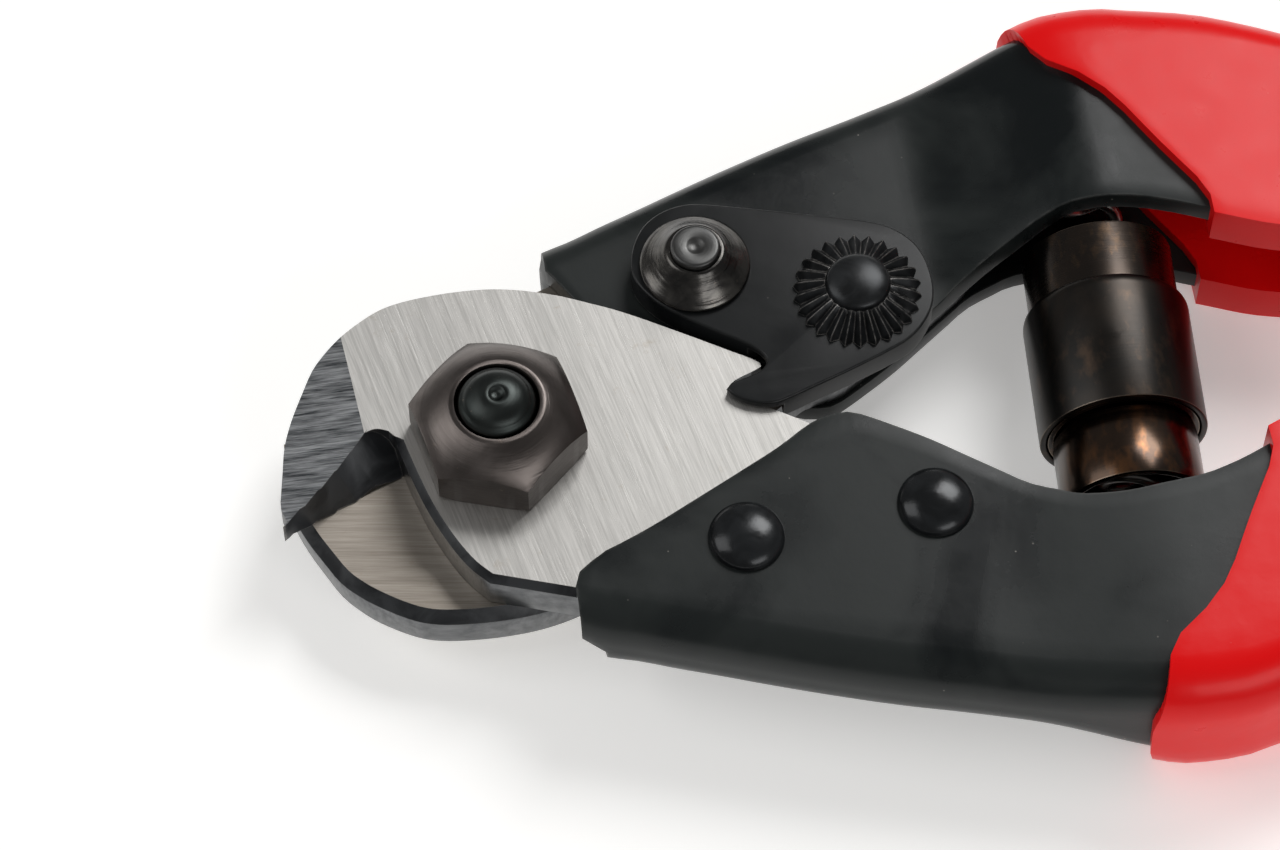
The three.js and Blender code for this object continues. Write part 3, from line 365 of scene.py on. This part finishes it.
def blade(name, body, node, rear):
    zl, zh = 0.03, 3.97
    base = temp_obj(prism_bm(soften(JAW + TANG + MOUTH, 3, 26), zl, zh))
    tip, root = Vector((-18.24, -4.63)), Vector((-11.2, 1.9)); dv = (root - tip).normalized(); nv = Vector((dv.y, -dv.x))
    lip = temp_obj(prism_bm(soften(LIP, 3, 30), zl, zh))
    wb = bmesh.new(); rings = []
    for t in (-3, 0, 2, 4, 6, 8, 10, 13):
        w = 0.36 * max(t, 0) * 1.3
        rings.append([wb.verts.new(((tip.x + dv.x * t + nv.x * k) * MM, (tip.y + dv.y * t + nv.y * k) * MM, z * MM)) for k, z in ((0, zh + .001), (9, zh + .001), (9, zl - 1.18), (w, zl - 1.18))])
    wb.faces.new(rings[0]); wb.faces.new(rings[-1][::-1])
    for a, b in zip(rings, rings[1:]):
        for k in range(4): wb.faces.new((a[k], b[k], b[(k + 1) % 4], a[(k + 1) % 4]))
    bmesh.ops.recalc_face_normals(wb, faces=wb.faces)
    wedge = temp_obj(wb)
    boolean(lip, wedge, "DIFFERENCE")
    boolean(base, lip, "UNION")
    f0, f1 = Vector((-11.8, 11.18)), Vector((-10.99, 2.11)); uv = (f1 - f0).normalized(); pv = Vector((uv.y, -uv.x))
    if pv.x > 0: pv = -pv
    drop = 1.25 * 12 / 7.2
    Q = lambda t, w, z: (f0.x + uv.x * t + pv.x * w, f0.y + uv.y * t + pv.y * w, z)
    boolean(base, temp_obj(box_bm([Q(-12, 0, zh), Q(22, 0, zh), Q(22, 12, zh - drop), Q(-12, 12, zh - drop), Q(-12, 0, zh + 3), Q(22, 0, zh + 3), Q(22, 12, zh + 3), Q(-12, 12, zh + 3)])), "DIFFERENCE")
    if rear: boolean(base, temp_obj(prism_bm([(-30, -30), (-17.75, -30), (-17.75, 30), (-30, 30)], -9, 9)), "DIFFERENCE")
    ob = base; ob.name = name; me = ob.data
    me.materials.clear()
    for k in ("blade", "facet", "side", "rear", "side_light"): me.materials.append(M[k])
    bm = bmesh.new(); bm.from_mesh(me)
    bmesh.ops.remove_doubles(bm, verts=bm.verts, dist=2e-6)
    bmesh.ops.dissolve_limit(bm, angle_limit=math.radians(0.6), verts=bm.verts, edges=bm.edges)
    # chamfer along the mouth and the shank in the near-black side material (painted shade), a fine one elsewhere
    top = zh * MM
    def on_top(v): return v.co.z > top - 2e-6
    ch = []
    for e in bm.edges:
        if len(e.link_faces) != 2 or not (on_top(e.verts[0]) and on_top(e.verts[1])): continue
        mx, my = (e.verts[0].co + e.verts[1].co) / 2 / MM if False else ((e.verts[0].co.x + e.verts[1].co.x) / 2 / MM, (e.verts[0].co.y + e.verts[1].co.y) / 2 / MM)
        nz = sorted(abs(f.normal.z) for f in e.link_faces)
        if nz[0] > 0.5 or nz[1] < 0.9: continue
        if (my < 1.2 and -8.6 < mx < 5) : ch.append(e)
    bmesh.ops.bevel(bm, geom=ch, offset=0.62 * MM, offset_type="OFFSET", segments=1, affect="EDGES", clamp_overlap=False, material=2)
    # the rear blade's outer edge chamfer also takes the near-black side material, as painted shade
    if rear:
        out = []
        for e in bm.edges:
            if len(e.link_faces) != 2 or max(v.co.z for v in e.verts) > (zl + 0.01) * MM or e.calc_face_angle(0) < 0.9: continue
            c = (e.verts[0].co + e.verts[1].co) / 2 / MM
            if c.y > 1 and c.x < 8.5 and (c.x < -17 or c.y > 11 or c.y > 0.95 * (c.x + 18)): out.append(e)
        bmesh.ops.bevel(bm, geom=out, offset=0.95 * MM, offset_type="OFFSET", segments=1, affect="EDGES", clamp_overlap=False, material=2)
    rest = [e for e in bm.edges if len(e.link_faces) == 2 and e.calc_face_angle(0) > math.radians(40)]
    bmesh.ops.bevel(bm, geom=rest, offset=0.12 * MM, offset_type="OFFSET", segments=2, profile=0.6, affect="EDGES", clamp_overlap=True, material=-1)
    # top faces take the ground blade steel, the cutting facet its darker copy, the shank walls grey steel, and the
    # chamfers and remaining walls the near-black copy; both dark copies are painted shade
    for f in bm.faces:
        n = f.normal; c = f.calc_center_median() / MM
        if n.z > 0.9995: f.material_index = 0
        elif n.z < -0.9995: f.material_index = 3 if rear else 0
        elif n.z > 0.95 and c.x < -10.4: f.material_index = 1
        elif abs(n.z) < 0.2 and c.x > -9.2 and c.y < 3: f.material_index = 4
        elif abs(n.z) < 0.2 and rear and c.y > 2: f.material_index = 4
        else: f.material_index = 2
    bm.to_mesh(me); bm.free()
    me.polygons.foreach_set("use_smooth", [True] * len(me.polygons)); me.set_sharp_from_angle(angle=math.radians(28))
    for p in me.polygons:
        if abs(p.normal.z) > 0.93: p.use_smooth = False
    mt = Matrix.Translation((0, 0, ZI * MM)) @ (Matrix.Rotation(math.pi, 4, "X") if rear else Matrix.Identity(4))
    me.transform(mt)
    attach(ob, body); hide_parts(node)
    return ob
blade("blade_front", "lower_side", "front_blade", False)
blade("blade_rear", "upper_side", "rear_blade", True)

# ------------------------------------------------------------------ handles and grips
SPINE = [(2,18.1),(4.2,18.9),(6.2,19.75),(8.7,20.5),(11.6,21.6),(15,22.8),(19.1,24.3),(24,26),(29,27.6),(34,29),(41,31),(46.4,32.2),(49,32.7),(52,33.15),(56,33.2),(60,32.45),(65,31.3),(70,29.3),(75,26.85),(80,24.5),(90,21.4),(100,19.5),(115,18.4),(130,18.2),(145,18.7),(158,19.8),(166,21.1),(172,21.8)]
SHORT = [(8.5,12.8),(13.6,10.3),(16.2,8.9),(18.4,7.5),(20.8,6.1),(23.5,4.6),(25.5,3.9),(27.5,3.7),(29.2,3.8),(31,4.35),(35.3,6),(38.4,7.95),(40.9,9.9),(42.9,11.2),(45.6,12.45),(48.4,13.6),(51.1,14.2),(53.6,14.15),(56.1,13.8),(59.3,12.85),(62.8,11.4),(67.7,9.5),(75,8),(85,6.6),(100,5.8),(120,5.4),(140,5.6),(155,6.4),(166,7.8),(172,8.7)]
LONG = [(8.3,12.4),(10.9,11.3),(15.4,9.1),(20,6.8),(22.7,5.4),(24.6,4.2),(25.9,3.5),(27.3,3.1),(28.6,3.05),(29.7,3.4),(31.3,4.3),(35,6.6),(37.2,8.2),(40.2,10.4),(42.4,12),(44.7,13),(46.6,13.7),(50.3,14),(52.9,13.8),(56.4,13.5),(59.5,12.7),(62.8,11.4)] + SHORT[21:]
GFRONT = [(10,62.5),(10.9,62.6),(12.4,62.5),(13.8,61.9),(16.4,60.4),(19.1,58.8),(21.5,57.5),(23.6,56.2),(25.2,54.8),(26.5,53.4),(27.4,51.8),(30.6,49.9),(33,48.7),(36,48.2)]
def sstep(x, a, b): t = np.clip((x - a) / (b - a), 0, 1); return t * t * (3 - 2 * t)
zf = lambda x: 2 + 4.5 * sstep(x, 38.5, 54)
zb = lambda x: -6 - 0.5 * sstep(x, 38.5, 54)

def channel(name, body, node, flip, coat, mats, thick, bev, bseg, end_x, R=3.2):
    NW, NA, NS = 10, 7, 4
    off = coat
    if coat: X = np.concatenate([np.linspace(62.4, 80, 15), np.linspace(82, end_x, 34)])
    else: X = np.concatenate([np.linspace(8.5, 62.8, 52), np.linspace(65, end_x, 12)])
    grid = []
    for X0 in X:
        k = 1 - float(sstep(X0, X[0], X[0] + (26 if coat else 12)))
        row = []
        def xe(kind, t):
            if coat:
                y = 10 + t * 25 if kind in ("f", "b") else 35
                yy = {"f": (1 - t) * 10 + t * (33.2 - R), "b": (1 - t) * 10 + t * (33.2 - R)}.get(kind, None)
                if yy is None: return 48.7 - 0.2 * t
                return float(np.interp(yy, [p[0] for p in GFRONT], [p[1] for p in GFRONT]))
            if kind == "f": return 8.5 - 2.3 * t
            if kind == "b": return float(np.interp((1 - t) * 12.4 + t * 18.9, [12.4, 13.1, 14.5, 16.1, 18.9], [8.3, 7, 5.7, 4.7, 4.2] if flip else [8.3, 7.2, 6.4, 6.05, 6.0]))
            return 6.2 - (2.0 if flip else 0.2) * t
        xr = X0 + (xe("f", 0) - X[0]) * k; xq = X0 + (xe("b", 0) - X[0]) * k
        rf = float(hermite(SHORT, xr)[0]) - off; rb = float(hermite(LONG, xq)[0]) - off
        # front wall
        for i in range(NW):
            t = i / NW
            x = X0 + (xe("f", t) - X[0]) * k; s = float(hermite(SPINE, x)[0]) + off
            row.append((x, rf * (1 - t) + (s - R - off) * t, float(zf(x)) + off))
        rr = R + off
        for i in range(NA + 1):
            a = math.pi / 2 * (1 - i / NA)
            x = X0 + ((xe("f", 1) if not coat else xe("f", 1) + (48.7 - xe("f", 1)) * i / NA) - X[0]) * k
            s = float(hermite(SPINE, x)[0]) + off
            row.append((x, s - rr + rr * math.cos(a), float(zf(x)) + off - rr + rr * math.sin(a)))
        for i in range(1, NS):
            t = i / NS; x = X0 + (xe("s", t) - X[0]) * k; s = float(hermite(SPINE, x)[0]) + off
            z1, z2 = float(zf(x)) + off - rr, float(zb(x)) - off + rr
            row.append((x, s, z1 + (z2 - z1) * t))
        for i in range(NA + 1):
            a = -math.pi / 2 * i / NA
            x = X0 + (((4.2 if flip else 6.0) if not coat else 48.7 + (xe("b", 1) - 48.7) * i / NA) - X[0]) * k
            s = float(hermite(SPINE, x)[0]) + off
            row.append((x, s - rr + rr * math.cos(a), float(zb(x)) - off + rr + rr * math.sin(a)))
        for i in range(1, NW + 1):
            t = 1 - i / NW
            x = X0 + (xe("b", t) - X[0]) * k; s = float(hermite(SPINE, x)[0]) + off
            row.append((x, rb * (1 - t) + (s - R - off) * t, float(zb(x)) - off))
        grid.append(row)
    n = len(grid[0]); verts = [p for row in grid for p in row]
    sgn = -1 if flip else 1
    verts = [(x, sgn * y, ZI + sgn * z) for x, y, z in verts]
    faces = [(i * n + j, (i + 1) * n + j, (i + 1) * n + j + 1, i * n + j + 1) for i in range(len(grid) - 1) for j in range(n - 1)]
    me = bpy.data.meshes.new(name); me.from_pydata([tuple(c * MM for c in v) for v in verts], [], faces); me.update()
    ob = bpy.data.objects.new(name, me); scene.collection.objects.link(ob)
    for k in mats: me.materials.append(M[k])
    # outward side up
    mid = me.polygons[(n - 1) * 3 + NW // 2]
    if (mid.normal.z > 0) != (sgn > 0):
        me.flip_normals()
    so = ob.modifiers.new("s", "SOLIDIFY"); so.thickness = thick * MM; so.offset = -1; so.use_even_offset = True
    bv = ob.modifiers.new("v", "BEVEL"); bv.width = bev * MM; bv.segments = bseg; bv.limit_method = "ANGLE"; bv.angle_limit = math.radians(55); bv.use_clamp_overlap = True; bv.profile = 0.5
    apply_mods(ob, 50)
    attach(ob, body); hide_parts(node)
    return ob
channel("handle_upper", "upper_side", "upper_handle", False, 0, ["handle"], 2.0, 0.55, 3, 150)
channel("handle_lower", "lower_side", "lower_handle", True, 0, ["handle"], 2.0, 0.55, 3, 150)
channel("grip_upper", "upper_side", "upper_grip", False, 1.1, ["vinyl"], 4.2, 1.5, 6, 171.5)
channel("grip_lower", "lower_side", "lower_grip", True, 1.1, ["vinyl"], 4.2, 1.5, 6, 171.5)

# ------------------------------------------------------------------ nut and bolt
def nut():
    af, turn, z0 = 13.0, -138.4, ZI + 4.0
    cone = [(3.9, 6.07), (4.6, 5.75), (5.6, 5.1), (6.7, 4.2), (7.6, 3.35)]
    zc = lambda rr: float(np.interp(rr, [c[0] for c in cone], [c[1] for c in cone]))
    seg = 144; verts, rows = [], []
    rh = []
    for i in range(seg):
        a = 360 * i / seg
        rh.append(af / 2 / math.cos(math.radians((a % 60) - 30)))
    def ring(f):
        rows.append(list(range(len(verts), len(verts) + seg)))
        for i in range(seg):
            a = math.radians(turn + 360 * i / seg); rr, z = f(i); verts.append((rr * math.cos(a), rr * math.sin(a), z0 + z))
    ring(lambda i: (3.36, 0.0))
    ring(lambda i: (min(rh[i], 6.9), 0.0))
    ring(lambda i: (rh[i], max(0.0, (rh[i] - 6.9) * 0.6) + 0.02))
    ring(lambda i: (rh[i], zc(rh[i]) - 0.12))
    ring(lambda i: (rh[i] - 0.1, zc(rh[i]) + 0.0))
    for k in (0.2, 0.4, 0.6, 0.8): ring(lambda i, k=k: ((rh[i] - 0.1) * (1 - k) + 4.25 * k, zc((rh[i] - 0.1) * (1 - k) + 4.25 * k)))
    ring(lambda i: (4.05, 6.02)); ring(lambda i: (3.9, 6.07)); ring(lambda i: (3.55, 6.05)); ring(lambda i: (3.4, 5.85)); ring(lambda i: (3.36, 5.6))
    faces = []
    for a, b in zip(rows, rows[1:] + rows[:1]):
        for i in range(seg): j = (i + 1) % seg; faces.append((a[i], b[i], b[j], a[j]))
    return new_obj("nut", verts, faces, "lower_side", "pivot_nut", ["nut"], 30)
nut()
b0 = 0.0
hexp = [(13 / math.sqrt(3) * math.cos(math.radians(12 + 60 * i)), 13 / math.sqrt(3) * math.sin(math.radians(12 + 60 * i))) for i in range(6)]
lathe("bolt_end", [(0, 5), (3.3, 5), (3.3, 17.35), (3.22, 17.62), (3.0, 17.9), (2.85, 17.98), (2.75, 18.12), (2.5, 18.38), (2.1, 18.62), (1.6, 18.84), (1.1, 18.98), (0.75, 19.0), (0.62, 18.94), (0.5, 18.80), (0.25, 18.72), (0, 18.7)], "lower_side", "pivot_bolt", ["bolt"], deg=40)
def hex_head():
    seg = 144; verts, rows = [], []
    rh = [13 / 2 / math.cos(math.radians((360 * i / seg % 60) - 30)) for i in range(seg)]
    def ring(f):
        rows.append(list(range(len(verts), len(verts) + seg)))
        for i in range(seg):
            a = math.radians(12 + 360 * i / seg); rr, z = f(i); verts.append((rr * math.cos(a), rr * math.sin(a), z))
    ring(lambda i: (0.5, 3.6)); ring(lambda i: (rh[i] - 0.1, 3.6)); ring(lambda i: (rh[i], 3.5))
    ring(lambda i: (rh[i], max(0.12, (rh[i] - 6.3) * 0.62)))
    ring(lambda i: (min(rh[i] - 0.08, 6.3), 0.0)); ring(lambda i: (3.0, 0.0)); ring(lambda i: (0.5, 0.0))
    faces = []
    for a, b in zip(rows, rows[1:]):
        for i in range(seg): j = (i + 1) % seg; faces.append((a[i], b[i], b[j], a[j]))
    faces.append(tuple(rows[-1])); faces.append(tuple(rows[0][::-1]))
    ob = new_obj("bolt_head", verts, faces, "lower_side", None, ["nut"], 30)
    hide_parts("pivot_bolt")
hex_head()

# ------------------------------------------------------------------ rivets, latch
def dome(r0, h, z, dirn, n=14): return [(r0 * math.cos(i * math.pi / 2 / n), z + dirn * h * math.sin(i * math.pi / 2 / n)) for i in range(n + 1)]
def close(p): return [(0 if abs(a) < 1e-6 else a, b) for a, b in p]
for nm, xy, node in (("rivet_a", (18.6, -13.4), "lower_rivet_front"), ("rivet_b", (34.4, -12.6), "lower_rivet_rear")):
    lathe(nm, close(dome(3.15, 1.5, ZI - 2.03, -1)[::-1] + [(2.1, ZI - 2.0), (2.1, ZI + 6.0)] + [(3.05, ZI + 6.02)] + dome(3.15, 1.5, ZI + 6.08, 1)), "lower_side", node, ["rivet"], centre=(*xy, 0), deg=50)
lathe("rivet_c", close(dome(3.15, 1.5, ZI - 6.03, -1)[::-1] + [(2.1, ZI - 6), (2.1, ZI + 1.9), (2.0, ZI + 2.0), (0, ZI + 2.0)]), "upper_side", "upper_rivet", ["rivet"], centre=(34.4, 12.6, 0), deg=50)
lathe("latch_pin", close(dome(3.15, 1.5, ZI - 6.03, -1)[::-1] + [(2.1, ZI - 6), (2.1, ZI + 7.9), (2.05, ZI + 8.06), (1.93, ZI + 8.17), (1.75, ZI + 8.2), (0.9, ZI + 8.2), (0.7, ZI + 8.14), (0.45, ZI + 7.98), (0, ZI + 7.92)]), "upper_side", "latch_rivet", ["pin"], centre=(18.6, 13.4, 0), deg=50)
W0 = ZI + 4.93
lathe("latch_washer", [(2.16, W0), (4.5, W0), (4.66, W0 + 0.12), (4.7, W0 + 0.35), (4.62, W0 + 0.5), (4.35, W0 + 0.68), (3.9, W0 + 1.05), (3.4, W0 + 1.55), (3.0, W0 + 2.0), (2.7, W0 + 2.35), (2.5, W0 + 2.58), (2.35, W0 + 2.66), (2.16, W0 + 2.66)], "upper_side", "latch_spring_washer", ["washer"], centre=(18.6, 13.4, 0), closed=True, deg=60)

LATCH = [(13.25,14.27),(13.78,16.24),(14.89,17.98),(16.47,19.08),(18.3,19.56),(20,19.45),(23.25,18.64),(26.6,17.72),(30.73,16.55),(33.19,15.84),(34.95,15.13),(36.29,14.19),(37.4,12.81),(38,11.17),(38.19,9.46),(38.09,7.86),(37.58,6.29),(36.48,4.76),(35.11,3.64),(33.45,2.85),(31.6,2.12),(29.75,1.43),(28.01,0.84),(26.17,0.21),(24.43,-0.38),(23.1,-0.69),(21.81,-0.51),(20.64,-0.03),(19.78,0.62),(19.37,1.2),(19.75,1.68),(20.57,1.98),(21.59,2.26),(22.52,2.65),(23.01,3.22),(23.04,3.82),(22.45,4.66),(21.3,5.59),(19.86,6.53),(18.33,7.58),(16.8,8.68),(15.18,10.04),(14.07,11.42),(13.36,12.86)]
def latch():
    ob = temp_obj(prism_bm(soften(LATCH, 4, 45), 2.2, 4.9))
    fan = [(0, 0)] + [(23.9 * math.cos(math.radians(a)), 23.9 * math.sin(math.radians(a))) for a in np.arange(-24, 14, 1.25)]
    boolean(ob, temp_obj(prism_bm(fan, 0, 4.12)), "DIFFERENCE")
    me = ob.data; bm = bmesh.new(); bm.from_mesh(me)
    bmesh.ops.remove_doubles(bm, verts=bm.verts, dist=2e-6)
    bmesh.ops.dissolve_limit(bm, angle_limit=math.radians(0.5), verts=bm.verts, edges=bm.edges)
    top = [e for e in bm.edges if len(e.link_faces) == 2 and e.calc_face_angle(0) > math.radians(50) and min(v.co.z for v in e.verts) > 4.89 * MM]
    bmesh.ops.bevel(bm, geom=top, offset=0.42 * MM, offset_type="OFFSET", segments=4, profile=0.5, affect="EDGES", clamp_overlap=True)
    bm.to_mesh(me); bm.free(); me.transform(Matrix.Translation((0, 0, ZI * MM)))
    me.materials.clear(); me.materials.append(M["latch"]); ob.name = "latch_lever"
    me.polygons.foreach_set("use_smooth", [True] * len(me.polygons)); me.set_sharp_from_angle(angle=math.radians(35))
    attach(ob, "latch"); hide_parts("latch_plate")
latch()

def button():
    cx, cy, z = 31.7, 8.8, ZI + 4.93
    T, sub = 26, 8; seg = T * sub; verts, rows = [], []
    def tooth(i): p = (i % sub) / sub; return abs(2 * p - 1)     # 1 on a crest, 0 in a valley
    def ring(f):
        rows.append(list(range(len(verts), len(verts) + seg)))
        for i in range(seg):
            a = 2 * math.pi * i / seg; rr, h = f(tooth(i)); verts.append((cx + rr * math.cos(a), cy + rr * math.sin(a), z + h))
    ring(lambda t: (4.95 + 0.5 * t, 0.0)); ring(lambda t: (4.9 + 0.52 * t, 0.12 + 0.1 * t)); ring(lambda t: (4.75 + 0.5 * t, 0.22 + 0.42 * t))
    ring(lambda t: (4.2 + 0.2 * t, 0.42 + 0.62 * t)); ring(lambda t: (3.5, 0.75 + 0.6 * t)); ring(lambda t: (3.0, 1.05 + 0.42 * t))
    ring(lambda t: (2.78, 1.35 + 0.15 * t)); ring(lambda t: (2.72, 1.62))
    for k in range(1, 8):
        a = k / 8 * math.pi / 2; ring(lambda t, a=a: (2.72 * math.cos(a), 1.62 + 0.86 * math.sin(a)))
    faces = []
    for a, b in zip(rows, rows[1:]):
        for i in range(seg): j = (i + 1) % seg; faces.append((a[i], b[i], b[j], a[j]))
    verts.append((cx, cy, z + 2.48)); c = len(verts) - 1
    for i in range(seg): faces.append((rows[-1][i], c, rows[-1][(i + 1) % seg]))
    faces.append(tuple(rows[0][::-1]))
    new_obj("thumb_button", verts, faces, "latch", "latch_thumb_button", ["button"], 32)
button()

# ------------------------------------------------------------------ spring guard
A = math.radians(-3.7); TAX = (-math.sin(A), math.cos(A), 0); TC = (52.35 * math.cos(A), 52.35 * math.sin(A), ZI)
lathe("tube_upper", [(5.95, -2.2), (6.4, -2.2), (6.4, 14.95), (6.35, 15.1), (6.2, 15.15), (6.0, 15.1), (5.95, 14.95)], "upper_tube", "upper_spring_tube", ["tube"], TC, TAX, closed=True, deg=50)
lathe("tube_lower", [(5.3, -8.75), (5.38, -8.87), (5.5, -8.9), (5.95, -8.9), (6.06, -8.85), (6.1, -8.7), (6.1, -2.8), (5.8, -2.5), (5.8, 15.0), (5.3, 15.0)], "lower_tube", "lower_spring_tube", ["tube_low"], TC, TAX, closed=True, deg=50)
lathe("tube_sleeve", [(6.55, -2.2), (6.6, -2.28), (6.7, -2.3), (6.98, -2.3), (7.07, -2.26), (7.1, -2.15), (7.1, 8.7), (7.06, 9.05), (6.95, 9.35), (6.8, 9.55), (6.62, 9.7), (6.55, 9.7)], "sleeve", "guard_sleeve", ["sleeve"], TC, TAX, closed=True, deg=50)
for nm, y, dr, body, node in (("seat_upper", 31.9, 1, "upper_side", "upper_spring_seat"), ("seat_lower", -25.4, -1, "lower_side", "lower_spring_seat")):
    lathe(nm, [(0, y), (2.9, y), (3.0, y - dr * 0.1), (3.0, y - dr * 0.7), (2.9, y - dr * 0.8), (1.6, y - dr * 0.8), (1.5, y - dr * 0.95), (1.5, y - dr * 3.5), (1.2, y - dr * 3.9), (0.9, y - dr * 4), (0, y - dr * 4)], body, node, ["rivet"], TC, TAX, deg=40)
def spring():
    lo, hi, turns, rr, wr = -25.4 + 0.8 + 0.8, 31.9 - 0.8 - 0.8, 14, 2.3, 0.55
    ax = Vector(TAX); e1 = Vector((ax.y, -ax.x, 0)); e2 = Vector((0, 0, 1)); c0 = Vector(TC)
    n = turns * 28; verts, faces, k = [], [], 10
    for i in range(n + 1):
        t = i / n; a = t * turns * 2 * math.pi
        rad = e1 * math.cos(a) + e2 * math.sin(a)
        tan = (ax * ((hi - lo) / (turns * 2 * math.pi)) + (-e1 * math.sin(a) + e2 * math.cos(a)) * rr).normalized()
        bi = tan.cross(rad); c = c0 + ax * (lo + (hi - lo) * t) + rad * rr
        for j in range(k):
            b = 2 * math.pi * j / k; verts.append(c + (rad * math.cos(b) + bi * math.sin(b)) * wr)
    for i in range(n):
        for j in range(k):
            j2 = (j + 1) % k; faces.append((i * k + j, i * k + j2, (i + 1) * k + j2, (i + 1) * k + j))
    faces.append(tuple(range(k))[::-1]); faces.append(tuple(n * k + j for j in range(k)))
    me = bpy.data.meshes.new("spring_wire"); me.from_pydata([tuple(v * MM) for v in verts], [], faces); me.update()
    ob = bpy.data.objects.new("spring_wire", me); scene.collection.objects.link(ob); me.materials.append(M["spring"])
    finish_mesh(ob, 50)
    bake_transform(ob)
    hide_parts("coil_spring")
spring()

# ------------------------------------------------------------------ floor, light
fl = bpy.data.meshes.new("floor")
bm = bmesh.new(); bmesh.ops.create_grid(bm, x_segments=1, y_segments=1, size=3); bm.to_mesh(fl); bm.free()
floor = bpy.data.objects.new("floor", fl); floor.location = (0, 0, -0.00005); scene.collection.objects.link(floor)
fm = bpy.data.materials.new("floor"); fm.use_nodes = True
fb = fm.node_tree.nodes["Principled BSDF"]; fb.inputs["Base Color"].default_value = (0.93, 0.925, 0.91, 1); fb.inputs["Roughness"].default_value = 0.55; fb.inputs["Specular IOR Level"].default_value = 0.1; fb.inputs["Emission Color"].default_value = (1, 0.99, 0.975, 1); fb.inputs["Emission Strength"].default_value = 0.34
fl.materials.append(fm)

def area(name, loc, size, power, target=(0.02, 0, 0.01), colour=(1, 1, 1)):
    l = bpy.data.lights.new(name, "AREA"); l.shape = "RECTANGLE"; l.size, l.size_y = size; l.energy = power; l.color = colour
    o = bpy.data.objects.new(name, l); o.location = loc
    o.rotation_euler = (Vector(target) - Vector(loc)).to_track_quat("-Z", "Y").to_euler(); scene.collection.objects.link(o)
area("key", (0.38, 0.42, 0.62), (0.36, 0.36), 3.6)
area("fill", (-0.55, 0.10, 0.50), (0.40, 0.55), 1.5)
area("front", (0.30, -0.62, 0.42), (0.45, 0.30), 1.3)
world = bpy.data.worlds.new("world"); scene.world = world; world.use_nodes = True
bg = world.node_tree.nodes["Background"]; bg.inputs[0].default_value = (1, 1, 1, 1); bg.inputs[1].default_value = 0.2
